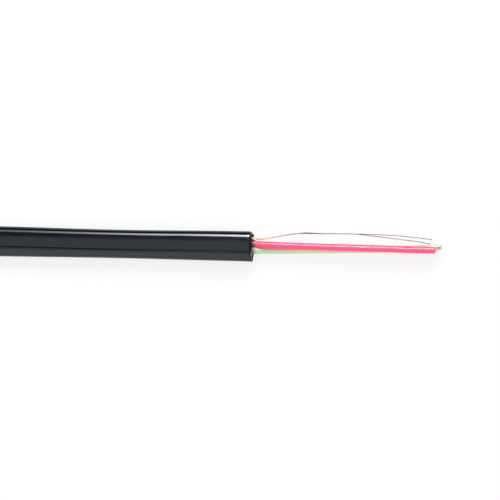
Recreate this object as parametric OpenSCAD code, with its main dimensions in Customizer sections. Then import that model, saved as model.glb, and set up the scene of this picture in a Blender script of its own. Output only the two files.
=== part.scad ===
// Flat modular line cable, a cut length with one stripped end, lying on its wide face.
// Origin on the underside at the middle of the stripped mouth, X along the cable, Z up.

/* [Jacket] */
// Width of the jacket across its wide face
jacket_width = 4.9; // [4.8:0.1:5.4]
// Thickness of the jacket between its wide faces
jacket_thickness = 2.4; // [2.3:0.1:2.9]
// Length of the jacket from the plain end to the stripped mouth
jacket_length = 55; // [40:1:120]
// Slant of the cut at the stripped mouth, in degrees
mouth_slant = 18; // [0:1:24]
// Distance of the polarity groove from the middle of the wide face
groove_offset = 1.1; // [0.8:0.1:1.3]
// Width of the polarity groove
groove_width = 0.26; // [0.2:0.02:0.36]
// Depth of the polarity groove
groove_depth = 0.2; // [0.1:0.02:0.3]

/* [Conductors] */
// Outer diameter of the insulation on each conductor
insulation_diameter = 1.04; // [0.98:0.01:1.06]
// Gap between neighbouring conductors
conductor_gap = 0.02; // [0.01:0.01:0.04]
// Share of the jacket's two side walls that lies beside the yellow conductor
yellow_wall_share = 0.3125; // [0.3:0.0125:0.7]
// Clearance between a conductor and the jacket, across the bore
bore_clearance = 0.04; // [0.03:0.01:0.06]
// Height of the slot that joins the bores
slot_height = 0.5; // [0.3:0.05:0.7]
// Diameter of one copper strand
strand_diameter = 0.127; // [0.1:0.001:0.16]
// Gap between neighbouring strands
strand_gap = 0.01; // [0.008:0.001:0.02]
// Clearance between the strands and the insulation, across the core
core_clearance = 0.01; // [0.01:0.005:0.03]
// Length in which the strands make one turn
strand_lay = 30; // [24:1:60]

/* [Stripped end] */
// Length of cable that the jacket was stripped from, which is the red lead's reach beyond the mouth
strip_length = 29.5; // [12:0.5:40]
// How much thicker a lead is outside the jacket, where nothing presses on its insulation
lead_swell = 0.07; // [0:0.01:0.07]
// How much further than the red lead the green one reaches
green_excess = 0.3; // [0:0.1:1]
// Length of bare core that stands out of the green lead
green_core = 0.8; // [0.5:0.1:1.2]
// How far the longer of the two loose strands stops short of the red lead's end
loose_shortfall = 0.7; // [0.5:0.1:4]
// Depth of the black insulation's end inside the mouth
black_recess = 0.6; // [0.4:0.1:3]
// Depth of the yellow conductor's end inside the mouth
yellow_recess = 1.2; // [0.4:0.1:3]

/* [Hidden] */
COLOURS = ["black", "red", "green", "yellow"];
BLACK = 0;
RED = 1;
GREEN = 2;
YELLOW = 3;
STRANDS = 7;

conductor_pitch = insulation_diameter + conductor_gap;
row_width = (len(COLOURS) - 1) * conductor_pitch;
bore_diameter = insulation_diameter + bore_clearance;
row_offset = (yellow_wall_share - 0.5) * (jacket_width - row_width - bore_diameter);
strand_pitch = strand_diameter + strand_gap;
core_diameter = 2 * strand_pitch + strand_diameter + core_clearance;
axis_height = jacket_thickness / 2;
mouth_lip = axis_height * tan(mouth_slant);
plain_end = -jacket_length;
bend_start = 0.2;
bend_end = 4.2;
swell_length = 3;
flat_width = jacket_width - jacket_thickness;

// Facets of the swept tubes and the spacing of their rings
insulation_sides = 12;
strand_sides = 6;
bend_step = 1;
lead_step = 2.6;
tip_step = 0.25;
loose_step = 1;
lay_step = strand_lay / 9;

// How far each conductor's insulation reaches along the cable
insulation_reach = [-black_recess, strip_length, strip_length + green_excess, -yellow_recess];

// The black core's cut stubs and the green core's splayed tip, one strand after the other
stub_reach = [0.6, 0.4, 0.7, 0.5, 0.65];
stub_fan = 0.8;
stub_bend = [-0.1, 0.05];
tip_share = [0.8, 0.9, 1, 0.9, 0.7, 0.5, 0.6];
tip_fan = 2.5;
tip_bend = [0.4, 0.25];
loose_stagger = 0.3;

// Length in which a bared core springs open
splay_length = 1;

// Routes of the free leads and strands: place along the cable, then the shift sideways and up from the bore
RED_ROUTE = [
    [0.2, [0, 0]], [1.2, [-0.04, 0.2]], [2.2, [-0.19, 0.42]], [3.2, [-0.24, 0.48]], [4.2, [-0.27, 0.5]],
    [6, [-0.3, 0.54]], [10, [-0.36, 0.56]], [15, [-0.42, 0.56]], [20, [-0.46, 0.56]], [24, [-0.5, 0.52]],
    [29.5, [-0.5, 0.4]]
];
GREEN_ROUTE = [
    [0.2, [0, 0]], [1.2, [0, -0.2]], [2.2, [0.12, -0.42]], [3.2, [0.15, -0.5]], [4.2, [0.18, -0.53]],
    [6, [0.26, -0.56]], [10, [0.41, -0.58]], [15, [0.57, -0.58]], [20, [0.74, -0.58]], [24, [0.88, -0.58]],
    [29.8, [1.12, -0.58]]
];
LOW_STRAND_ROUTE = [
    [0, [-0.07, -0.12]], [1, [-0.25, -0.2]], [2.5, [-0.1, 0.1]], [4.6, [0.3, 0.25]], [7.2, [0.7, 0.4]],
    [11, [0.7, 0.6]], [14, [0.75, 0.65]], [16, [0.78, 0.65]], [19, [0.55, 0.6]], [21.5, [0.3, 0.5]],
    [24, [0.06, 0.4]], [26.5, [-0.2, 0.3]], [28.8, [-0.6, 0.2]]
];
HIGH_STRAND_ROUTE = [
    [0, [0.07, -0.12]], [1, [-0.18, 0]], [2.5, [-0.13, 0.26]], [4.6, [0.25, 0.45]], [7.2, [0.65, 0.6]],
    [8.5, [0.8, 0.7]], [11, [0.7, 0.85]], [14, [0.72, 0.9]], [16, [0.7, 0.95]], [19, [0.7, 0.95]],
    [21.5, [0.65, 0.9]], [24, [0.55, 0.8]], [26.5, [0.35, 0.65]], [29, [0.1, 0.5]]
];
STRAIGHT = [[0, [0, 0]], [1, [0, 0]]];
LEAD_ROUTES = [STRAIGHT, RED_ROUTE, GREEN_ROUTE, STRAIGHT];
LOOSE_ROUTES = [LOW_STRAND_ROUTE, HIGH_STRAND_ROUTE];

// Where a conductor's bore runs across the jacket, sideways and up
function lane(c) = [row_offset + row_width / 2 - c * conductor_pitch, axis_height];

// Rise of the wide face above the bores' row, at a distance from its middle
function face_rise(y) =
    let (past = max(0, y - flat_width / 2))
    sqrt(axis_height * axis_height - past * past);

// Slope of a route at one of its points
function route_slope(route, i) =
    i == 0 ? [0, 0] :
    let (j = min(i + 1, len(route) - 1))
    (route[j][1] - route[i - 1][1]) / (route[j][0] - route[i - 1][0]);

// Shift of a route at any place along the cable, on a smooth curve through its points
function route_shift(route, x) =
    let (
        i = max([0, for (j = [0:len(route) - 2]) if (route[j][0] <= x) j]),
        span = route[i + 1][0] - route[i][0],
        t = min(1, max(0, (x - route[i][0]) / span)),
        s = 1 - t
    )
    (1 + 2 * t) * s * s * route[i][1] + t * t * (3 - 2 * t) * route[i + 1][1]
    + span * t * s * (s * route_slope(route, i) - t * route_slope(route, i + 1));

// Evenly spaced places between two ends, both included
function stations(from, to, step) =
    let (n = max(1, ceil((to - from) / step)))
    [for (i = [0:n]) from + (to - from) * i / n];

// Places of a free lead's rings, closer together where it bends out of the mouth
function lead_stations(end) =
    end <= bend_end ? [] :
    concat(
        stations(bend_start, bend_end, bend_step),
        [for (x = stations(bend_end, end, lead_step)) if (x > bend_end) x]
    );

// Radius of a free lead, which swells as it leaves the jacket
function lead_radius(x) =
    (insulation_diameter + lead_swell * min(1, max(0, (x - bend_start) / swell_length))) / 2;

// Middle of a conductor at a place along the cable
function conductor_at(c, x) = lane(c) + route_shift(LEAD_ROUTES[c], x);

// Shift of a strand inside its core, one in the middle and six laid around it
function lay_shift(k, x) =
    let (turn = 360 * (k - 2) / (STRANDS - 1) + 360 * x / strand_lay)
    k == 1 ? [0, 0] : strand_pitch * [cos(turn), sin(turn)];

// The last two black strands were left long
function is_loose(c, k) = c == BLACK && k > len(stub_reach);
function loose_route(k) = LOOSE_ROUTES[k - len(stub_reach) - 1];

// How much a bare core spreads and bends past the end of its insulation
function spread(c, past) = c == GREEN ? tip_fan * past : stub_fan * past * past;
function bend(c) = c == GREEN ? tip_bend : stub_bend;

// Middle of a strand at a place along the cable
function strand_at(c, k, x) =
    is_loose(c, k) && x > 0 ? lane(c) + route_shift(loose_route(k), x) :
    let (past = is_loose(c, k) ? 0 : max(0, x - insulation_reach[c]) / splay_length)
    conductor_at(c, x) + bend(c) * past * past * splay_length
    + lay_shift(k, is_loose(c, k) ? x : min(x, insulation_reach[c])) * (1 + spread(c, past));

// Where a strand ends
function strand_end(c, k) =
    c == GREEN ? insulation_reach[c] + green_core * tip_share[k - 1] :
    c != BLACK ? insulation_reach[c] :
    is_loose(c, k) ? strip_length - loose_shortfall - (STRANDS - k) * loose_stagger : stub_reach[k - 1];

// Places of a strand's rings: along the jacket, along the lead, then along the bare tip
function strand_stations(c, k) =
    let (end = strand_end(c, k), sheathed = min(end, insulation_reach[c]))
    is_loose(c, k) ? concat(stations(plain_end, 0, lay_step), stations(loose_step, end, loose_step)) :
    concat(
        stations(plain_end, min(bend_start, sheathed), lay_step),
        [for (x = lead_stations(sheathed)) if (x > bend_start) x],
        [for (x = stations(sheathed, end, tip_step)) if (x > sheathed) x]
    );

// One ring of points around a middle
function ring(x, middle, radius, sides) =
    [for (i = [0:sides - 1])
        let (a = 360 * i / sides)
        [x, middle[0] + radius * cos(a), middle[1] + radius * sin(a)]];

// Triangles of the wall between successive rings, facing out or, for a bore, in
function wall(rings, sides, first, outward) =
    [for (s = [0:rings - 2]) for (i = [0:sides - 1])
        let (
            a = first + s * sides + i,
            b = first + s * sides + (i + 1) % sides,
            c = a + sides,
            d = b + sides
        )
        each outward ? [[a, c, b], [b, c, d]] : [[a, b, c], [b, d, c]]];

// A round rod swept through its ring middles
module swept_rod(xs, middles, radius, sides) {
    count = len(xs);
    start_cap = [for (i = [0:sides - 1]) i];
    end_cap = [for (i = [sides - 1:-1:0]) (count - 1) * sides + i];
    polyhedron(
        [for (s = [0:count - 1]) each ring(xs[s], middles[s], radius, sides)],
        concat(wall(count, sides, 0, true), [start_cap], [end_cap])
    );
}

// A round tube swept through its ring middles, with a radius for each ring
module swept_tube(xs, middles, radii, bore_radius, sides) {
    count = len(xs);
    inner = count * sides;
    last = (count - 1) * sides;
    ends = [for (i = [0:sides - 1])
        let (j = (i + 1) % sides)
        each [
            [i, j, inner + j], [i, inner + j, inner + i],
            [last + j, last + i, inner + last + i], [last + j, inner + last + i, inner + last + j]
        ]];
    polyhedron(
        concat(
            [for (s = [0:count - 1]) each ring(xs[s], middles[s], radii[s], sides)],
            [for (s = [0:count - 1]) each ring(xs[s], middles[s], bore_radius, sides)]
        ),
        concat(wall(count, sides, 0, true), wall(count, sides, inner, false), ends)
    );
}

// Lays a profile of the cable out along X, its width on Y and its height on Z
module along_cable(from, to) {
    translate([from, 0, 0])
        rotate([90, 0, 90])
            linear_extrude(to - from)
                children();
}

// Flat faces with full round edges
module jacket_outline() {
    square([flat_width, jacket_thickness], center = true);
    for (side = [-1, 1])
        translate([side * flat_width / 2, 0])
            circle(d = jacket_thickness, $fn = 96);
}

// Four bores in a row, joined by a slot
module conductor_cavity() {
    translate([row_offset, 0])
        square([row_width, slot_height], center = true);
    for (c = [BLACK:YELLOW])
        translate([lane(c)[0], 0])
            circle(d = bore_diameter, $fn = 48);
}

module jacket() {
    color("#202228")
        difference() {
            along_cable(plain_end, mouth_lip + 1)
                translate([0, axis_height])
                    difference() {
                        jacket_outline();
                        conductor_cavity();
                        translate([-groove_offset, face_rise(groove_offset)])
                            polygon([
                                [-groove_width, groove_depth],
                                [0, -groove_depth],
                                [groove_width, groove_depth]
                            ]);
                    }
            translate([0, 0, axis_height])
                rotate([0, -mouth_slant, 0])
                    translate([0, -jacket_width, -2 * jacket_thickness])
                        cube([4 * jacket_thickness, 2 * jacket_width, 4 * jacket_thickness]);
        }
}

// Insulation of a conductor that ends inside the jacket
module straight_insulation(c) {
    along_cable(plain_end, insulation_reach[c])
        translate(lane(c))
            difference() {
                circle(d = insulation_diameter, $fn = 48);
                circle(d = core_diameter, $fn = 32);
            }
}

// Insulation of a conductor that runs on as a free lead
module lead_insulation(c) {
    xs = concat([plain_end], lead_stations(insulation_reach[c]));
    swept_tube(
        xs,
        [for (x = xs) conductor_at(c, x)],
        [for (x = xs) lead_radius(x)],
        core_diameter / 2 / cos(180 / insulation_sides),
        insulation_sides
    );
}

module black_insulation() {
    color("#2a2a2e") straight_insulation(BLACK);
}

module red_insulation() {
    color("#ff5c87") lead_insulation(RED);
}

module green_insulation() {
    color("#bee6b9") lead_insulation(GREEN);
}

module yellow_insulation() {
    color("#f2d84a") straight_insulation(YELLOW);
}

module copper_strand(c, k) {
    xs = strand_stations(c, k);
    color("#c8865a")
        swept_rod(xs, [for (x = xs) strand_at(c, k, x)], strand_diameter / 2, strand_sides);
}

jacket();
black_insulation();
red_insulation();
green_insulation();
yellow_insulation();
for (c = [BLACK:YELLOW]) for (k = [1:STRANDS])
    copper_strand(c, k);
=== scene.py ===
# %% [markdown]
# A flat modular cable is a black jacket with four insulated conductors lying side by side in it. This
# one is stripped: a red and a green lead stand out of the jacket, the yellow conductor is cut back
# inside it, and of the black one only copper strands are left. The solids of all 33 pieces come from the
# CAD frame, so this lesson starts by loading them.

# %% Load the frame
import math

import bpy
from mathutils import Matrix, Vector
from mathutils.geometry import tessellate_polygon


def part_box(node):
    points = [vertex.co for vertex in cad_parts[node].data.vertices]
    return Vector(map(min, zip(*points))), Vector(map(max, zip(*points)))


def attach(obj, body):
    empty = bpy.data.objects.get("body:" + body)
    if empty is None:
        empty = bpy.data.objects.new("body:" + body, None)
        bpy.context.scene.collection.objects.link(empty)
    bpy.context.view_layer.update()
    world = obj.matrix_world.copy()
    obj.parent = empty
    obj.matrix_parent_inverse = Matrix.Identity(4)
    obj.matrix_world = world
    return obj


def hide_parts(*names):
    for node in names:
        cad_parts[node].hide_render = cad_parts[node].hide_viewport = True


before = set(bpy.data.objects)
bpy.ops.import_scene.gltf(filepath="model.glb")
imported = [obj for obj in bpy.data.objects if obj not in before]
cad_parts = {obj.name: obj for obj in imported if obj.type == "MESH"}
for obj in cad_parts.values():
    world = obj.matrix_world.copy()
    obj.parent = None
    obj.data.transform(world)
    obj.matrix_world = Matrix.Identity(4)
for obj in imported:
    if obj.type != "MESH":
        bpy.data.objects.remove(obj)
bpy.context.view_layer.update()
MM = 0.001
print("pieces in the frame:", len(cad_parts))

# %% [markdown]
# Colours are picked as sRGB hex values, but shaders work with linear light, so one function turns the
# one into the other. A second small function adds a shader node. Its settings are attributes of the
# node. Each input is called by name, or by number where a node has several of one name, and takes a
# plain value or the output of another node.

# %% Colour and node helpers
def linear(hex_colour):
    parts = [int(hex_colour[i:i + 2], 16) / 255 for i in (1, 3, 5)]
    return [p / 12.92 if p <= 0.04045 else ((p + 0.055) / 1.055) ** 2.4 for p in parts] + [1.0]


def add_node(tree, kind, inputs=None, **settings):
    node = tree.nodes.new(kind)
    for name, value in settings.items():
        setattr(node, name, value)
    for socket, value in (inputs or {}).items():
        if isinstance(value, bpy.types.NodeSocket):
            tree.links.new(value, node.inputs[socket])
        else:
            node.inputs[socket].default_value = value
    return node


print("mid grey in linear light:", round(linear("#808080")[0], 3))

# %% [markdown]
# The photograph looks almost straight down on the cable with a long lens, so its edges stay parallel.
# The camera stands 0.6 m away, 78 degrees above the table, and is turned a little, because the cable
# runs slightly downhill to the right in the picture. The lens follows from the width that the picture
# shows.

# %% Camera
elevation = math.radians(78)
turn = math.radians(1.21)
distance = 0.6
seen_width = 80.05 * MM
sensor_width = 36
aim = Vector((-0.32, -0.59, 1.2)) * MM

towards_camera = Vector((
    math.sin(turn) * math.cos(elevation),
    -math.cos(turn) * math.cos(elevation),
    math.sin(elevation),
))
camera_data = bpy.data.cameras.new("camera")
camera_data.sensor_width = sensor_width
camera_data.lens = sensor_width * distance / seen_width
camera = bpy.data.objects.new("camera", camera_data)
camera.location = aim + towards_camera * distance
camera.rotation_euler = (math.pi / 2 - elevation, 0, turn)
bpy.context.scene.collection.objects.link(camera)
bpy.context.scene.camera = camera
print("lens in mm:", round(camera_data.lens, 1))

# %% [markdown]
# The sizes come next, in millimetres. The jacket's are read from its box in the frame, so they follow
# the CAD source. The cable runs along X and the mouth lies at zero. The four conductors lie in a row,
# 1.06 mm apart. Red and green end far out of the mouth, and black and yellow just inside it.

# %% Sizes
low, high = (Vector(corner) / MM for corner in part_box("jacket"))
plain_end = low.x
jacket_width = high.y - low.y
jacket_thickness = high.z - low.z
axis_height = jacket_thickness / 2
lane = {"black": 1.47, "red": 0.41, "green": -0.65, "yellow": -1.71}
insulation_end = {"black": -0.6, "red": 29.3, "green": 29.68, "yellow": -1.2}
print("jacket in mm:", round(-plain_end, 2), round(jacket_width, 2), round(jacket_thickness, 2))

# %% [markdown]
# Outside the mouth the leads bend freely: red climbs over green, and green runs along the table. A route
# lists how far a lead has moved from its bore, sideways and up, at some places along the cable. Straight
# lines between these points would leave kinks. A Bezier curve object would be smooth, but the meshes
# below need the path at any place, so Hermite interpolation works it out from the points and a slope at
# each one.

# %% Routes of the leads
lead_routes = {
    "red": [
        (0.2, (0, 0)), (1.2, (-0.072, 0.2)), (2.2, (-0.19, 0.42)), (3.2, (-0.24, 0.48)),
        (4.2, (-0.27, 0.5)), (6, (-0.3, 0.54)), (10, (-0.36, 0.56)), (15, (-0.42, 0.56)),
        (20, (-0.46, 0.56)), (24, (-0.5, 0.52)), (29.5, (-0.5, 0.4)),
    ],
    "green": [
        (0.2, (0, 0)), (1.2, (0, -0.2)), (2.2, (0.12, -0.42)), (3.2, (0.15, -0.5)),
        (4.2, (0.18, -0.53)), (6, (0.26, -0.56)), (10, (0.41, -0.58)), (15, (0.57, -0.58)),
        (20, (0.74, -0.58)), (24, (0.88, -0.58)), (29.8, (1.12, -0.58)),
    ],
}


def slope(route, i):
    if i == 0:
        return Vector((0, 0))
    before, after = route[i - 1], route[min(i + 1, len(route) - 1)]
    return (Vector(after[1]) - Vector(before[1])) / (after[0] - before[0])


def shift_at(route, x):
    if x <= route[0][0]:
        return Vector(route[0][1])
    for i in range(len(route) - 1):
        start, end = route[i][0], route[i + 1][0]
        if x <= end:
            run = end - start
            t = (x - start) / run
            return (
                Vector(route[i][1]) * (2 * t**3 - 3 * t**2 + 1)
                + slope(route, i) * run * (t**3 - 2 * t**2 + t)
                + Vector(route[i + 1][1]) * (3 * t**2 - 2 * t**3)
                + slope(route, i + 1) * run * (t**3 - t**2)
            )
    return Vector(route[-1][1])


def conductor_at(colour, x):
    shift = shift_at(lead_routes[colour], x) if colour in lead_routes else Vector((0, 0))
    return Vector((x, lane[colour] + shift.x, axis_height + shift.y))


print("red ends at", [round(c, 2) for c in conductor_at("red", insulation_end["red"])])

# %% [markdown]
# Every piece of this cable is drawn through a die, so every mesh is a loft: one ring of points after
# another along the piece, joined by faces. A tube with a bore is a loft that turns round at its ends and
# closes on itself, and a solid strand gets a flat cap at each end. Sharp edges are kept sharp by angle,
# and the rest is shaded smooth.

# %% Loft helpers
def mesh_piece(name, points, faces, sharp=40):
    mesh = bpy.data.meshes.new(name)
    mesh.from_pydata([p * MM for p in points], [], faces)
    mesh.validate()
    mesh.shade_smooth()
    mesh.set_sharp_from_angle(angle=math.radians(sharp))
    piece = bpy.data.objects.new(name, mesh)
    bpy.context.scene.collection.objects.link(piece)
    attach(piece, "root")
    return piece


def loft_faces(rings, per_ring, closed=False):
    faces = []
    for r in range(rings if closed else rings - 1):
        a, b = r * per_ring, (r + 1) % rings * per_ring
        for i in range(per_ring):
            j = (i + 1) % per_ring
            faces.append((a + i, b + i, b + j, a + j))
    return faces


def ring_across(before, centre, after, radius, sides):
    along = (after - before).normalized()
    side = Vector((0, 0, 1)).cross(along).normalized()
    up = along.cross(side)
    turns = [2 * math.pi * i / sides for i in range(sides)]
    return [centre + side * (radius * math.cos(t)) + up * (radius * math.sin(t)) for t in turns]


def spaced(start, end, step):
    count = max(1, math.ceil((end - start) / step))
    return [start + (end - start) * i / count for i in range(count + 1)]


print("loft of 3 rings of 8 points:", len(loft_faces(3, 8)), "faces")

# %% [markdown]
# The jacket's section is oblong with round edges. Its wide faces aren't dead flat: an extruded jacket is
# crowned by a few degrees, and that slight curve is what lets a reflection fade across it. So each wide
# face is one shallow arc and each edge a tight one, tangent to it. A fine groove runs along the upper
# face as a polarity mark. It belongs to the section itself and isn't faked by a bump, so it shows at the
# end too.

# %% Jacket section
crown = math.radians(4)
edge_share = 1 - math.sin(crown)
flat_half = (
    (jacket_width / 2 - edge_share * jacket_thickness / 2 / math.cos(crown))
    / (1 - edge_share * math.tan(crown / 2) / math.cos(crown))
)
edge_radius = (jacket_thickness / 2 - flat_half * math.tan(crown / 2)) / math.cos(crown)
face_radius = flat_half / math.sin(crown)
face_step = 0.12
edge_steps = 30
groove_offset = 1.1
groove_room = 0.2
half_groove = [(0.115, 0), (0.05, 0.17), (0.015, 0.195)]


def face_height(y):
    return jacket_thickness / 2 - face_radius + math.sqrt(face_radius**2 - y**2)


def jacket_section(open_share=1):
    top = [(y, face_height(y)) for y in spaced(-flat_half, flat_half, face_step)[::-1]]
    far_side = [p for p in top if p[0] > -groove_offset + groove_room]
    near_side = [p for p in top if p[0] < -groove_offset - groove_room]
    half = [(y * open_share, depth * open_share) for y, depth in half_groove]
    groove = [(-groove_offset + y, face_height(-groove_offset + y) - depth) for y, depth in half]
    groove += [(-groove_offset - y, face_height(-groove_offset - y) - depth) for y, depth in half[::-1]]
    sweep = math.pi - 2 * crown
    turns = [math.pi / 2 + crown + sweep * i / edge_steps for i in range(1, edge_steps)]
    edge_middle = jacket_width / 2 - edge_radius
    near_edge = [(edge_radius * math.cos(t) - edge_middle, edge_radius * math.sin(t)) for t in turns]
    far_edge = [(-y, z) for y, z in near_edge[::-1]]
    bottom = [(-y, -z) for y, z in top]
    return far_side + groove + near_side + near_edge + bottom + far_edge


print("points in the jacket's section:", len(jacket_section()))

# %% [markdown]
# Inside, the jacket follows the row of conductors: four bores joined by a slot where the insulations
# touch. A Boolean could cut them out, but a second ring of points gives cleaner faces. The mouth was cut
# by hand. So the cut leans, more on the far side than on the near one, its far corner is cut back, its
# near corner stands out, and it ripples. One function says how far out the cut lies at each point of the
# section.

# %% Bores and mouth
bore_radius = 0.54
bore_steps = 16
slot_half = 0.25
mouth_lean = 16
lean_change = 6
corner_start = 1.5
corner_run = 0.95
far_corner_back = 0.25
near_corner_out = 0.2
middle_out = 0.13
middle_start = -1.3
ripples = [(0.02, 3.1, 0), (0.015, 7.3, 2)]


def clamp(share):
    return min(max(share, 0), 1)


def cavity_section():
    meet = math.asin(slot_half / bore_radius)
    upper = []
    for number, centre in enumerate(lane.values()):
        start = 0 if number == 0 else meet
        end = math.pi if number == len(lane) - 1 else math.pi - meet
        for i in range(bore_steps + 1):
            t = start + (end - start) * i / bore_steps
            upper.append((centre + bore_radius * math.cos(t), bore_radius * math.sin(t)))
    return upper + [(y, -z) for y, z in upper[-2:0:-1]]


def mouth_x(y, z):
    lean = math.radians(mouth_lean + lean_change * y / (jacket_width / 2))
    far_corner = far_corner_back * max(0, (y - corner_start) / corner_run) ** 2
    near_corner = near_corner_out * max(0, (-y - corner_start) / corner_run) ** 2
    ahead = middle_out * clamp(y - middle_start)
    rippled = sum(height * math.sin(across * y + up * z) for height, across, up in ripples)
    return ahead - (far_corner - near_corner) - z * math.tan(lean) + rippled


def cavity_ring(x, at_mouth):
    return [
        Vector((x + (mouth_x(y, z) if at_mouth else 0), y, z + axis_height))
        for y, z in cavity_section()
    ]


print("points in the cavity's section:", len(cavity_section()))

# %% [markdown]
# A jacket that was pulled while it was stripped isn't quite straight. It is a little narrower in its
# middle, the groove wanders there and closes towards the mouth, and the near edge is pressed wider at
# the cut. All of this could be sculpted, but each is a small shift of the section's points, so one
# function gives the outer ring at any place. Near an end the ring is also drawn in, which rounds the
# rim.

# %% Outer skin
waist_start = -42
waist_length = 41
far_waist = 0.145
near_waist = 0.115
waist_shift = 0.02
groove_wander = 0.1
wander_reach = 0.5
closing_start = -26
closing_length = 24
groove_closing = 0.45
near_flare = 0.06
flare_length = 2.5


def drawn(x):
    return math.sin(math.pi * clamp((x - waist_start) / waist_length)) ** 2


def outer_ring(x, at_mouth, inset=0):
    ring = []
    open_share = 1 - groove_closing * clamp((x - closing_start) / closing_length)
    for y, z in jacket_section(open_share):
        length = math.hypot(y, z)
        y, z = y * (1 - inset / length), z * (1 - inset / length)
        share = y / (jacket_width / 2)
        waist = far_waist * share if y > 0 else near_waist * share**3
        wander = groove_wander * math.exp(-((y + groove_offset) / wander_reach) ** 2)
        flare = near_flare * max(0, 1 + x / flare_length) ** 2 * share**2 if y < 0 else 0
        y -= drawn(x) * (waist + wander + waist_shift) + flare
        reach = x + (mouth_x(y, z) if at_mouth else 0)
        ring.append(Vector((reach, y, z + axis_height)))
    return ring


print("share of the waist halfway along the jacket:", round(drawn(plain_end / 2), 2))

# %% [markdown]
# Now the rings are placed. The plain end has a rim with a small rounding and the handled mouth a worn
# one, and both are a quarter circle of rings. Inside, a few rings are enough, because the bores are
# straight and only follow the slanted cut near the mouth.

# %% Jacket rings
rounding = 0.06
rounding_steps = 4
worn = 0.25
worn_steps = 8
ring_step = 1
straight_end = -2
slanted_outside = [-1, -0.5]
straight_inside = [plain_end, -8, -4]
slanted_inside = [-2, -1, -0.4, 0]

outside = []
for i in range(rounding_steps + 1):
    t = math.pi / 2 * i / rounding_steps
    x = plain_end + rounding * (1 - math.cos(t))
    outside.append(outer_ring(x, False, rounding * (1 - math.sin(t))))
outside += [outer_ring(x, False) for x in spaced(plain_end + ring_step, straight_end, ring_step)]
outside += [outer_ring(x, True) for x in slanted_outside]
for i in range(worn_steps + 1):
    t = math.pi / 2 * i / worn_steps
    outside.append(outer_ring(worn * (math.sin(t) - 1), True, worn * (1 - math.cos(t))))
inside = [cavity_ring(x, False) for x in straight_inside]
inside += [cavity_ring(x, True) for x in slanted_inside]
print("rings outside and inside:", len(outside), len(inside))

# %% [markdown]
# The rings become one mesh. At each end, the cut face fills the space between the outer ring and the
# cavity's ring, and Blender's tessellation finds its triangles. The bores and the cut faces get other
# material numbers than the skin, because the conductors' pressure and a knife leave other surfaces than
# the die.

# %% Jacket
per_skin = len(outside[0])
per_wall = len(inside[0])
wall_first = len(outside) * per_skin
points = [p for ring in outside + inside for p in ring]
faces = [face[::-1] for face in loft_faces(len(outside), per_skin)]
bore_from = len(faces)
faces += [tuple(wall_first + i for i in face) for face in loft_faces(len(inside), per_wall)]
cut_from = len(faces)
for end, flip in ((0, False), (-1, True)):
    outer, inner = outside[end], inside[end]
    skin_start = len(outside) * per_skin - per_skin if flip else 0
    wall_start = len(points) - per_wall if flip else wall_first
    numbers = [skin_start + i for i in range(per_skin)] + [wall_start + i for i in range(per_wall)]
    flat_rings = [[Vector((p.y, p.z, 0)) for p in ring] for ring in (outer, inner)]
    for triangle in tessellate_polygon(flat_rings):
        corners = [numbers[i] for i in triangle]
        faces.append(tuple(corners[::-1] if flip else corners))
jacket = mesh_piece("flat_jacket", points, faces, sharp=35)
for polygon in jacket.data.polygons[bore_from:]:
    polygon.material_index = 1 if polygon.index >= cut_from else 2
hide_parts("jacket")
print("jacket faces:", len(faces))

# %% [markdown]
# Each insulation is a tube of polyethylene that follows its conductor. A bevelled curve could draw it,
# but would have no bore. So its outer rings run along the route, turn over a small rounding at the cut
# end, and come back along the bore, and the wall has its real thickness with the copper showing inside.
# Outside the jacket nothing presses on a lead any more, so it is a little thicker there.

# %% Insulations
insulation_radius = 0.52
lead_radius = 0.555
core_radius = 0.2055
freed_from = 0.2
freed_length = 3
cut_rounding = 0.03
insulation_sides = 32
bend_length = 5
hidden_step = 5
short_step = 1
bend_step = 0.2
free_step = 0.4
look_ahead = 0.05


def radius_at(x):
    return insulation_radius + (lead_radius - insulation_radius) * clamp((x - freed_from) / freed_length)


insulations = {}
for colour in lane:
    end = insulation_end[colour]
    if colour in lead_routes:
        places = spaced(plain_end, 0, hidden_step)[:-1] + spaced(0, bend_length, bend_step)[:-1]
        places += spaced(bend_length, end, free_step)
    else:
        places = spaced(plain_end, -hidden_step, hidden_step)[:-1] + spaced(-hidden_step, end, short_step)
    steps = [(x, radius_at(x)) for x in places]
    steps[0] = (plain_end, insulation_radius - cut_rounding)
    steps.insert(1, (plain_end + cut_rounding, insulation_radius))
    steps[-1] = (end - cut_rounding, radius_at(end))
    steps.append((end - cut_rounding / 3, radius_at(end) - cut_rounding / 3))
    steps.append((end, radius_at(end) - cut_rounding))
    steps += [(x, core_radius) for x in places[::-1]]
    points = []
    for x, radius in steps:
        before, after = conductor_at(colour, x - look_ahead), conductor_at(colour, x + look_ahead)
        points += ring_across(before, conductor_at(colour, x), after, radius, insulation_sides)
    faces = [face[::-1] for face in loft_faces(len(steps), insulation_sides, closed=True)]
    piece = mesh_piece(f"{colour}_conductor_insulation", points, faces)
    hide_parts(f"{colour}_insulation")
    insulations[colour] = piece
print("insulations:", list(insulations))

# %% [markdown]
# A core is seven strands, one straight in the middle and six laid round it in a long helix. Two strands
# of the black core were left long, and their routes are written like the leads' routes. The other five
# were cut short at the mouth and droop. The green core stands a little out of its insulation, splayed
# and bent. One function says where each strand lies at any place, so that all of them can be lofted
# alike.

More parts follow.
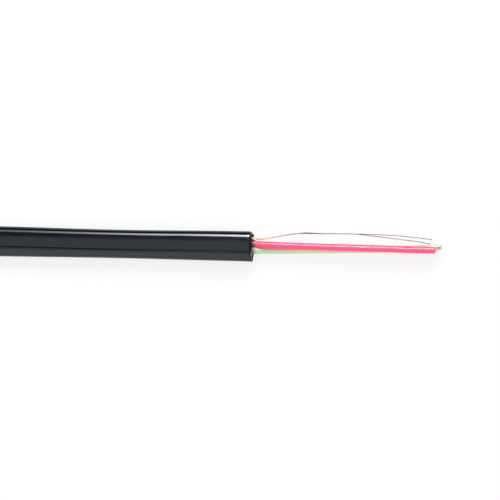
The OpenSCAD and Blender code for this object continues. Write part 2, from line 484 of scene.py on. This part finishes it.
# %% Paths of the strands
strand_pitch = 0.137
strand_lay = 30
loose_routes = {
    6: [
        (0, (-0.07, -0.12)), (1, (-0.25, -0.2)), (2.5, (-0.1, 0.1)), (4.6, (0.3, 0.25)), (7.2, (0.7, 0.4)),
        (11, (0.7, 0.6)), (14, (0.75, 0.65)), (16, (0.78, 0.65)), (19, (0.55, 0.6)), (21.5, (0.3, 0.5)),
        (24, (0.06, 0.4)), (26.5, (-0.2, 0.3)), (28.8, (-0.6, 0.2)),
    ],
    7: [
        (0, (0.07, -0.12)), (1, (-0.18, 0)), (2.5, (-0.13, 0.26)), (4.6, (0.25, 0.45)), (7.2, (0.65, 0.6)),
        (8.5, (0.8, 0.7)), (11, (0.7, 0.85)), (14, (0.72, 0.9)), (16, (0.7, 0.95)), (19, (0.7, 0.95)),
        (21.5, (0.65, 0.9)), (24, (0.55, 0.8)), (26.5, (0.35, 0.65)), (29, (0.1, 0.5)),
    ],
}
green_splay = 2.5
green_bend = Vector((0, 0.15, 0.1))
stub_splay = 0.2
stub_length = 0.6
stub_droop = 0.16
stub_slope = 0.1


def bent(colour, past):
    if colour == "green":
        return green_bend * past**2
    if colour == "black":
        droop = stub_droop * clamp(past / stub_length) + stub_slope * max(0, past - stub_length)
        return Vector((0, -droop, stub_slope * past))
    return Vector()


def is_loose(colour, number):
    return colour == "black" and number in loose_routes


def strand_at(colour, number, x):
    loose = is_loose(colour, number)
    if loose and x > 0:
        shift = shift_at(loose_routes[number], x)
        return Vector((x, lane["black"] + shift.x, axis_height + shift.y))
    past = 0 if loose else max(0, x - insulation_end[colour])
    laid_to = x if loose else min(x, insulation_end[colour])
    turned = math.radians(60 * (number - 2) + 360 * laid_to / strand_lay)
    spread = green_splay * past if colour == "green" else stub_splay * past**2
    reach = 0 if number == 1 else strand_pitch * (1 + spread)
    laid = Vector((0, reach * math.cos(turned), reach * math.sin(turned)))
    return conductor_at(colour, x) + bent(colour, past) + laid


print("long strands:", list(loose_routes))

# %% [markdown]
# Each strand is a loft of its own and not one ribbed cylinder for the whole core, because the cut ends
# show the strands apart. Where a strand is hidden its rings are far apart, and where it is bare they are
# close. A strand's end has a tiny rounding, as a cutter leaves it.

# %% Strands
strand_radius = 0.0635
strand_sides = 10
strand_rounding = 0.012
strand_look_ahead = 0.02
jacket_step = 1
lead_step = 0.5
loose_step = 0.25
tip_step = 0.1
green_bared = 0.8
green_tip_share = [0.8, 0.9, 1, 0.9, 0.7, 0.5, 0.6]
black_reach = [0.6, 0.4, 0.7, 0.5, 0.65, 28.5, 28.8]


def strand_end(colour, number):
    if colour == "black":
        return black_reach[number - 1]
    return insulation_end[colour] + (green_bared * green_tip_share[number - 1] if colour == "green" else 0)


strands = {}
for colour in lane:
    for number in range(1, 8):
        end = strand_end(colour, number)
        bared = min(end, insulation_end[colour])
        places = spaced(plain_end, min(bared, 0), jacket_step)
        if bared > 0:
            places += spaced(0, bared, lead_step)[1:]
        if end > bared:
            places += spaced(bared, end, loose_step if is_loose(colour, number) else tip_step)[1:]
        steps = [(x, strand_radius) for x in places]
        steps[-1] = (end - strand_rounding, strand_radius)
        steps.append((end, strand_radius - strand_rounding))
        points = []
        for x, radius in steps:
            before = strand_at(colour, number, x - strand_look_ahead)
            after = strand_at(colour, number, x + strand_look_ahead)
            points += ring_across(before, strand_at(colour, number, x), after, radius, strand_sides)
        faces = [face[::-1] for face in loft_faces(len(steps), strand_sides)]
        first_cap = range(strand_sides)
        last_cap = range(len(points) - 1, len(points) - 1 - strand_sides, -1)
        faces += [tuple(first_cap), tuple(last_cap)]
        piece = mesh_piece(f"{colour}_core_strand_{number}", points, faces)
        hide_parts(f"{colour}_strand_{number}")
        strands[colour, number] = piece
print("strands:", len(strands))

# %% [markdown]
# The jacket and the two long leads are flexible. Along each long lead the places of its line are listed
# 2.5 mm apart. All of them end bare, because this is a length cut from a reel.

# %% Places along the leads
lead_line_step = 2.5
for colour in lead_routes:
    places = spaced(plain_end, insulation_end[colour], lead_line_step)

# %% [markdown]
# The jacket is soft PVC, coloured with carbon black and drawn out of a heated die. To the eye that gives
# a nearly black body under a clear, slightly soft gloss, with faint lines along the cable and a skin
# that is uneven like orange peel. The lines are noise stretched along X, about 0.15 mm apart, and the
# peel is noise about 0.6 mm across, drawn larger than life so that it shows.

# %% Extruded black PVC
def new_material(name):
    material = bpy.data.materials.new(name)
    material.use_nodes = True
    material.node_tree.nodes.clear()
    return material, material.node_tree


per_mm = 1 / MM
line_spacing = 0.15
peel_size = 0.6
jacket_pvc, tree = new_material("extruded_black_pvc")
place = add_node(tree, "ShaderNodeTexCoord").outputs["Object"]
stretched = add_node(tree, "ShaderNodeMapping", {"Vector": place, "Scale": (0.02, 1, 1)})
lines = add_node(tree, "ShaderNodeTexNoise", {
    "Vector": stretched.outputs["Vector"], "Scale": per_mm / line_spacing, "Detail": 2.0,
})
peel = add_node(tree, "ShaderNodeTexNoise", {"Vector": place, "Scale": per_mm / peel_size, "Detail": 3.0})
tone = add_node(tree, "ShaderNodeMix", {
    "Factor": peel.outputs["Fac"], "A": linear("#080d13"), "B": linear("#0d131a"),
}, data_type="RGBA")
gloss = add_node(tree, "ShaderNodeMapRange", {
    "Value": lines.outputs["Fac"], "To Min": 0.08, "To Max": 0.12,
})
fine = add_node(tree, "ShaderNodeBump", {
    "Height": lines.outputs["Fac"], "Strength": 0.08, "Distance": 0.02 * MM,
})
rough = add_node(tree, "ShaderNodeBump", {
    "Height": peel.outputs["Fac"], "Strength": 0.1, "Distance": 0.03 * MM, "Normal": fine.outputs["Normal"],
})
shader = add_node(tree, "ShaderNodeBsdfPrincipled", {
    "Base Color": tone.outputs["Result"], "Roughness": gloss.outputs["Result"], "IOR": 1.46,
    "Specular Tint": linear("#f2f7ff"), "Normal": rough.outputs["Normal"],
})
add_node(tree, "ShaderNodeOutputMaterial", {"Surface": shader.outputs["BSDF"]})
print("made", jacket_pvc.name)

# %% [markdown]
# Where a knife went through the jacket, the same PVC is torn open, duller and with fine scratches across
# the cut. At the mouth its colour turns whitish towards both edges of the cut, while the far upper lip,
# the near lower one, the middle and the plain end stay dark. Three ramps find this zone from the place
# on the piece, which is why no painted image is needed: one across the cable, one slanting up over the
# cut, and one along the cable that leaves the plain end out.

# %% Knife-cut black PVC
scratch_spacing = 0.12
slant = (0, 0.45, 1)
cut_pvc, tree = new_material("knife_cut_black_pvc")
place = add_node(tree, "ShaderNodeTexCoord").outputs["Object"]
swept = add_node(tree, "ShaderNodeMapping", {
    "Vector": place, "Scale": (1, 0.1, 1), "Rotation": (0.3, 0, 0),
})
scratches = add_node(tree, "ShaderNodeTexNoise", {
    "Vector": swept.outputs["Vector"], "Scale": per_mm / scratch_spacing, "Detail": 4.0,
})
whitish = add_node(tree, "ShaderNodeMix", {
    "Factor": scratches.outputs["Fac"], "A": linear("#808387"), "B": linear("#d2d4d6"),
}, data_type="RGBA")
where = add_node(tree, "ShaderNodeSeparateXYZ", {"Vector": place})
off_middle = add_node(tree, "ShaderNodeMath", {0: where.outputs["Y"]}, operation="ABSOLUTE")
to_edges = add_node(tree, "ShaderNodeMapRange", {
    "Value": off_middle.outputs["Value"], "From Min": 0.9 * MM, "From Max": 1.6 * MM,
})
at_mouth = add_node(tree, "ShaderNodeMapRange", {
    "Value": where.outputs["X"], "From Min": -10 * MM, "From Max": -5 * MM,
    "To Max": to_edges.outputs["Result"],
})
upward = add_node(tree, "ShaderNodeVectorMath", {0: place, 1: slant}, operation="DOT_PRODUCT")
below_far_lip = add_node(tree, "ShaderNodeMapRange", {
    "Value": upward.outputs["Value"], "From Min": 1.8 * MM, "From Max": 2.6 * MM,
    "To Min": 1.0, "To Max": 0.0,
})
above_near_lip = add_node(tree, "ShaderNodeMapRange", {
    "Value": upward.outputs["Value"], "From Min": 0.3 * MM, "From Max": 0.8 * MM,
})
between_lips = add_node(tree, "ShaderNodeMath", {
    0: below_far_lip.outputs["Result"], 1: above_near_lip.outputs["Result"],
}, operation="MULTIPLY")
whitened = add_node(tree, "ShaderNodeMath", {
    0: at_mouth.outputs["Result"], 1: between_lips.outputs["Value"],
}, operation="MULTIPLY")
tone = add_node(tree, "ShaderNodeMix", {
    "Factor": whitened.outputs["Value"], "A": linear("#0b0c0e"), "B": whitish.outputs["Result"],
}, data_type="RGBA")
torn = add_node(tree, "ShaderNodeBump", {
    "Height": scratches.outputs["Fac"], "Strength": 0.4, "Distance": 0.03 * MM,
})
shader = add_node(tree, "ShaderNodeBsdfPrincipled", {
    "Base Color": tone.outputs["Result"], "Roughness": 0.55, "IOR": 1.53, "Normal": torn.outputs["Normal"],
})
add_node(tree, "ShaderNodeOutputMaterial", {"Surface": shader.outputs["BSDF"]})
print("made", cut_pvc.name)

# %% [markdown]
# Inside the bores the jacket was pressed soft against the conductors, which leaves it dull and rough,
# with faint patches about 0.3 mm across, and a slightly darker colour is painted shade for the deep holes.

# %% Dull black PVC in the bores, with painted shade
bore_patch_size = 0.3
bore_pvc, tree = new_material("dull_black_pvc_painted_bore_shade")
place = add_node(tree, "ShaderNodeTexCoord").outputs["Object"]
bore_patches = add_node(tree, "ShaderNodeTexNoise", {
    "Vector": place, "Scale": per_mm / bore_patch_size, "Detail": 2.0,
})
# painted shade: these colours are a little darker than the jacket's, so the bores look deep black
tone = add_node(tree, "ShaderNodeMix", {
    "Factor": bore_patches.outputs["Fac"], "A": linear("#040506"), "B": linear("#0a0b0d"),
}, data_type="RGBA")
shader = add_node(tree, "ShaderNodeBsdfPrincipled", {
    "Base Color": tone.outputs["Result"], "Roughness": 0.85, "IOR": 1.46,
})
add_node(tree, "ShaderNodeOutputMaterial", {"Surface": shader.outputs["BSDF"]})
for material in (jacket_pvc, cut_pvc, bore_pvc):
    jacket.data.materials.append(material)
print("made", bore_pvc.name)

# %% [markdown]
# The conductors' insulation is polyethylene, also drawn from a die, coloured through and a little
# translucent, so light gets in and comes out again close by, which softens its shading. Its tone changes
# slowly along the lead by a few percent. Next to the mouth the lead is painted darker and made duller, a
# painted shade where it comes out of the jacket, which ends within a millimetre and leaves the plain end
# clean. One loop makes the four, because only the dye differs.

# %% Extruded polyethylene
dyes = {
    "black": ("#1b1b1e", "#232327"),
    "red": ("#f84776", "#ff5282"),
    "green": ("#b9d3a5", "#c7dfb4"),
    "yellow": ("#ecd040", "#f5de58"),
}
line_spacing = 0.1
cloud_size = 2.5
for colour, (deep, pale) in dyes.items():
    polyethylene, tree = new_material(f"extruded_{colour}_polyethylene")
    place = add_node(tree, "ShaderNodeTexCoord").outputs["Object"]
    stretched = add_node(tree, "ShaderNodeMapping", {"Vector": place, "Scale": (0.01, 1, 1)})
    lines = add_node(tree, "ShaderNodeTexNoise", {
        "Vector": stretched.outputs["Vector"], "Scale": per_mm / line_spacing, "Detail": 2.0,
    })
    cloud = add_node(tree, "ShaderNodeTexNoise", {
        "Vector": place, "Scale": per_mm / cloud_size, "Detail": 2.0,
    })
    dyed = add_node(tree, "ShaderNodeMix", {
        "Factor": cloud.outputs["Fac"], "A": linear(deep), "B": linear(pale),
    }, data_type="RGBA")
    along = add_node(tree, "ShaderNodeSeparateXYZ", {"Vector": place}).outputs["X"]
    # painted shade next to the mouth: it fades in inside the jacket, so the plain end stays clean
    near_mouth = add_node(tree, "ShaderNodeMapRange", {
        "Value": along, "From Min": -6 * MM, "From Max": -3 * MM, "To Max": 0.9,
    })
    painted_mouth_shade = add_node(tree, "ShaderNodeMapRange", {
        "Value": along, "From Min": -0.15 * MM, "From Max": 0.8 * MM,
        "To Min": near_mouth.outputs["Result"], "To Max": 0.0,
    }, interpolation_type="SMOOTHSTEP")
    # 160d0e is the painted shade's colour, mixed over the dye near the mouth
    tone = add_node(tree, "ShaderNodeMix", {
        "Factor": painted_mouth_shade.outputs["Result"], "A": dyed.outputs["Result"], "B": linear("#160d0e"),
    }, data_type="RGBA")
    clean = add_node(tree, "ShaderNodeMapRange", {
        "Value": lines.outputs["Fac"], "To Min": 0.28, "To Max": 0.34,
    })
    gloss = add_node(tree, "ShaderNodeMapRange", {
        "Value": painted_mouth_shade.outputs["Result"], "To Min": clean.outputs["Result"], "To Max": 0.75,
    })
    fine = add_node(tree, "ShaderNodeBump", {
        "Height": lines.outputs["Fac"], "Strength": 0.01, "Distance": 0.02 * MM,
    })
    shader = add_node(tree, "ShaderNodeBsdfPrincipled", {
        "Base Color": tone.outputs["Result"], "Roughness": gloss.outputs["Result"], "IOR": 1.51,
        "Subsurface Weight": 0.3, "Subsurface Radius": (1.0, 0.6, 0.6), "Subsurface Scale": 0.15 * MM,
        "Normal": fine.outputs["Normal"],
    })
    add_node(tree, "ShaderNodeOutputMaterial", {"Surface": shader.outputs["BSDF"]})
    insulations[colour].data.materials.append(polyethylene)
    print("made", polyethylene.name)

# %% [markdown]
# The strands are bare annealed copper, drawn fine, which leaves tiny lines along the wire and a satin
# lustre. The lines are set 0.03 mm apart, coarser than life, so that they show. Cores that were only
# just bared are fresh. The stubs of the black core at the mouth get a paler copper, a painted highlight
# for the glints on them. The two long strands were handled, which has dulled them in patches towards
# brown, except next to the mouth. So one loop makes copper in three states.

# %% Drawn annealed copper
states = {
    "fresh": ("#bd8a70", "#dcb39b"),
    # painted highlight: a paler copper that stands in for glints on the stubs at the mouth
    "painted_highlight": ("#d8a98f", "#ecc8b3"),
    "handled": ("#75625a", "#8c776c"),
}
line_spacing = 0.03
patch_size = 0.7
coppers = {}
for state, (deep, pale) in states.items():
    copper, tree = new_material(f"drawn_annealed_{state}_copper")
    place = add_node(tree, "ShaderNodeTexCoord").outputs["Object"]
    stretched = add_node(tree, "ShaderNodeMapping", {"Vector": place, "Scale": (0.05, 1, 1)})
    lines = add_node(tree, "ShaderNodeTexNoise", {
        "Vector": stretched.outputs["Vector"], "Scale": per_mm / line_spacing, "Detail": 2.0,
    })
    patches = add_node(tree, "ShaderNodeTexNoise", {
        "Vector": place, "Scale": per_mm / patch_size, "Detail": 3.0,
    })
    tone = add_node(tree, "ShaderNodeMix", {
        "Factor": patches.outputs["Fac"], "A": linear(deep), "B": linear(pale),
    }, data_type="RGBA")
    if state == "handled":
        along = add_node(tree, "ShaderNodeSeparateXYZ", {"Vector": place}).outputs["X"]
        touched = add_node(tree, "ShaderNodeMapRange", {
            "Value": along, "From Min": 0.6 * MM, "From Max": 3.5 * MM,
        })
        tone = add_node(tree, "ShaderNodeMix", {
            "Factor": touched.outputs["Result"], "A": linear("#e6bba4"), "B": tone.outputs["Result"],
        }, data_type="RGBA")
    dullness = 0.25 if state == "handled" else 0
    satin = add_node(tree, "ShaderNodeMapRange", {
        "Value": lines.outputs["Fac"], "To Min": 0.25 + dullness, "To Max": 0.42 + dullness,
    })
    shader = add_node(tree, "ShaderNodeBsdfPrincipled", {
        "Base Color": tone.outputs["Result"], "Metallic": 1.0, "Roughness": satin.outputs["Result"],
    })
    add_node(tree, "ShaderNodeOutputMaterial", {"Surface": shader.outputs["BSDF"]})
    coppers[state] = copper
    print("made", copper.name)
for (colour, number), strand in strands.items():
    # the black core's short stubs take the painted highlight copper
    state = "painted_highlight" if colour == "black" else "fresh"
    if is_loose(colour, number):
        state = "handled"
    strand.data.materials.append(coppers[state])

# %% [markdown]
# The cable lies on a white table, and this stage around it is measured in metres. To the camera and to
# reflections the table is mostly plain white of strength 1, and the rest of its look is a white surface
# that takes the light, so a faint shadow stays. Light Path tells which rays ask, and because the room
# needs the same test, a function sets it up.

# %% Table
def background_ray(tree):
    ray = add_node(tree, "ShaderNodeLightPath")
    seen_or_mirrored = add_node(tree, "ShaderNodeMath", {
        0: ray.outputs["Is Camera Ray"], 1: ray.outputs["Is Glossy Ray"],
    }, operation="MAXIMUM")
    return add_node(tree, "ShaderNodeMath", {
        0: seen_or_mirrored.outputs["Value"], 1: ray.outputs["Is Transmission Ray"],
    }, operation="MAXIMUM").outputs["Value"]


def panel(name, corners):
    mesh = bpy.data.meshes.new(name)
    mesh.from_pydata(corners, [], [(0, 1, 2, 3)])
    return mesh


table_half = 3.0
plain_share = 0.72
table_mesh = panel("table", [
    (-table_half, -table_half, 0), (table_half, -table_half, 0),
    (table_half, table_half, 0), (-table_half, table_half, 0),
])
table = bpy.data.objects.new("table", table_mesh)
bpy.context.scene.collection.objects.link(table)
white_table, tree = new_material("white_table")
share = add_node(tree, "ShaderNodeMath", {0: background_ray(tree), 1: plain_share}, operation="MULTIPLY")
lit = add_node(tree, "ShaderNodeBsdfDiffuse", {"Color": linear("#f4f4f4")})
plain = add_node(tree, "ShaderNodeEmission", {"Color": (1, 1, 1, 1), "Strength": 1.0})
both = add_node(tree, "ShaderNodeMixShader", {
    "Fac": share.outputs["Value"], 1: lit.outputs["BSDF"], 2: plain.outputs["Emission"],
})
add_node(tree, "ShaderNodeOutputMaterial", {"Surface": both.outputs["Shader"]})
table_mesh.materials.append(white_table)
print("made the table")

# %% [markdown]
# The room is white too. The camera, reflections and clear pieces see it at strength 1, and as light for
# the object it is weaker, because the lamps add the rest.

# %% Room
room_light = 0.76
room = bpy.data.worlds.new("white_room")
bpy.context.scene.world = room
room.use_nodes = True
tree = room.node_tree
tree.nodes.clear()
level = add_node(tree, "ShaderNodeMapRange", {
    "Value": background_ray(tree), "To Min": room_light, "To Max": 1.0,
})
sky = add_node(tree, "ShaderNodeBackground", {"Color": (1, 1, 1, 1), "Strength": level.outputs["Result"]})
add_node(tree, "ShaderNodeOutputWorld", {"Surface": sky.outputs["Background"]})
print("made the room")

# %% [markdown]
# A long softbox behind the cable draws the bright line on the jacket's far shoulder and on the leads. In
# the photograph that line grows towards the stripped end, and it stays bright on the leads, though their
# gloss is softer. So the lamp's strength changes along its length, which its own Parametric coordinate
# counts from 0 to 1. Two functions serve all the lamps. The first gives an area lamp the energy at which
# its strength reads as brightness, where 1 is white, and the second hangs it some degrees from the
# vertical, facing the cable.

# %% Softbox
def area_lamp(name, width, depth, brightness=1):
    data = bpy.data.lights.new(name, "AREA")
    data.shape = "RECTANGLE"
    data.size = width
    data.size_y = depth
    data.energy = brightness * 4 * width * depth
    return data


def facing(name, data, degrees, away, along=0, roll=0):
    tilt = math.radians(degrees)
    item = bpy.data.objects.new(name, data)
    item.location = aim + Vector((along, math.sin(tilt) * away, math.cos(tilt) * away))
    item.rotation_mode = "ZYX"
    item.rotation_euler = (-tilt, 0, math.radians(roll))
    bpy.context.scene.collection.objects.link(item)
    item.visible_camera = False
    return item


softbox_tilt = 35
softbox_away = 0.3
softbox_roll = -8
mouth_mirrored = 0.556
leads_mirrored = (0.57, 0.64)
softbox_data = area_lamp("softbox", width=0.135, depth=0.13)
softbox_data.use_nodes = True
tree = softbox_data.node_tree
tree.nodes.clear()
spot = add_node(tree, "ShaderNodeNewGeometry")
along = add_node(tree, "ShaderNodeSeparateXYZ", {"Vector": spot.outputs["Parametric"]}).outputs["X"]
to_mouth = add_node(tree, "ShaderNodeMapRange", {"Value": along, "From Max": mouth_mirrored})
growing = add_node(tree, "ShaderNodeMath", {0: to_mouth.outputs["Result"], 1: 1.5}, operation="POWER")
on_jacket = add_node(tree, "ShaderNodeMapRange", {
    "Value": growing.outputs["Value"], "To Min": 0.5, "To Max": 18.2,
})
on_leads = add_node(tree, "ShaderNodeMapRange", {
    "Value": along, "From Min": leads_mirrored[0], "From Max": leads_mirrored[1], "To Max": 19.0,
})
total = add_node(tree, "ShaderNodeMath", {
    0: on_jacket.outputs["Result"], 1: on_leads.outputs["Result"],
}, operation="ADD")
glow = add_node(tree, "ShaderNodeEmission", {"Strength": total.outputs["Value"]})
add_node(tree, "ShaderNodeOutputLight", {"Surface": glow.outputs["Emission"]})
softbox = facing("softbox", softbox_data, softbox_tilt, softbox_away, along=-0.0075, roll=softbox_roll)
softbox.visible_diffuse = False
print("made the softbox")

# %% [markdown]
# Next to the mouth the red lead climbs, so its gloss mirrors a place further back along the cable. A
# short strip lamp in line with the softbox stands there and carries the bright line on to the mouth.

# %% Strip
strip_data = area_lamp("side_strip", width=0.07, depth=0.13, brightness=16)
strip = facing("side_strip", strip_data, softbox_tilt, softbox_away, along=-0.108, roll=softbox_roll)
strip.visible_diffuse = False
print("made the strip")

# %% [markdown]
# A dark board behind the softbox keeps the rest of that side black, as a softbox's own housing does. A
# dark card beyond the lead tips does the same for the worn rim of the mouth, which would mirror the
# white room. The card is shown to reflections only, so it takes no light from the table.

# %% Dark board and card
board_mesh = panel("dark_board", [(-0.3, -0.16, 0), (0.9, -0.16, 0), (0.9, 0.42, 0), (-0.3, 0.42, 0)])
board = facing("dark_board", board_mesh, degrees=40, away=0.36)
black_board, tree = new_material("black_board")
dark = add_node(tree, "ShaderNodeBsdfDiffuse", {"Color": linear("#050505")})
add_node(tree, "ShaderNodeOutputMaterial", {"Surface": dark.outputs["BSDF"]})
board_mesh.materials.append(black_board)

card_mesh = panel("dark_card", [(0.09, -0.2, 0.3), (0.09, 0.25, 0.3), (0.4, 0.25, 0.02), (0.4, -0.2, 0.02)])
card_mesh.materials.append(black_board)
card = bpy.data.objects.new("dark_card", card_mesh)
bpy.context.scene.collection.objects.link(card)
card.visible_camera = False
card.visible_diffuse = False
card.visible_shadow = False
print("made the board and the card")

# %% [markdown]
# Such a bright softbox would also flood the pale leads, so it is shown to reflections only, and a wider
# and weaker key lamp in the same quarter lights the surfaces. It is large and stands low, so the shadow
# that it throws on the table is long and soft.

# %% Key
key_data = area_lamp("key", width=0.36, depth=0.22, brightness=3.4)
key = facing("key", key_data, degrees=55, away=0.3)
key.visible_glossy = False
print("made the key lamp")

# %% [markdown]
# A wide weak lamp on the camera's side fills the near edge, so that the band below the groove is a
# little lighter than the face above it.

# %% Fill
fill_data = area_lamp("fill", width=0.5, depth=0.7, brightness=0.45)
facing("fill", fill_data, degrees=-52, away=0.4)
print("made the fill lamp")

# %% [markdown]
# Last, the view transform is set so that colours come out as they are written.

# %% Finish
bpy.context.scene.view_settings.view_transform = "Standard"
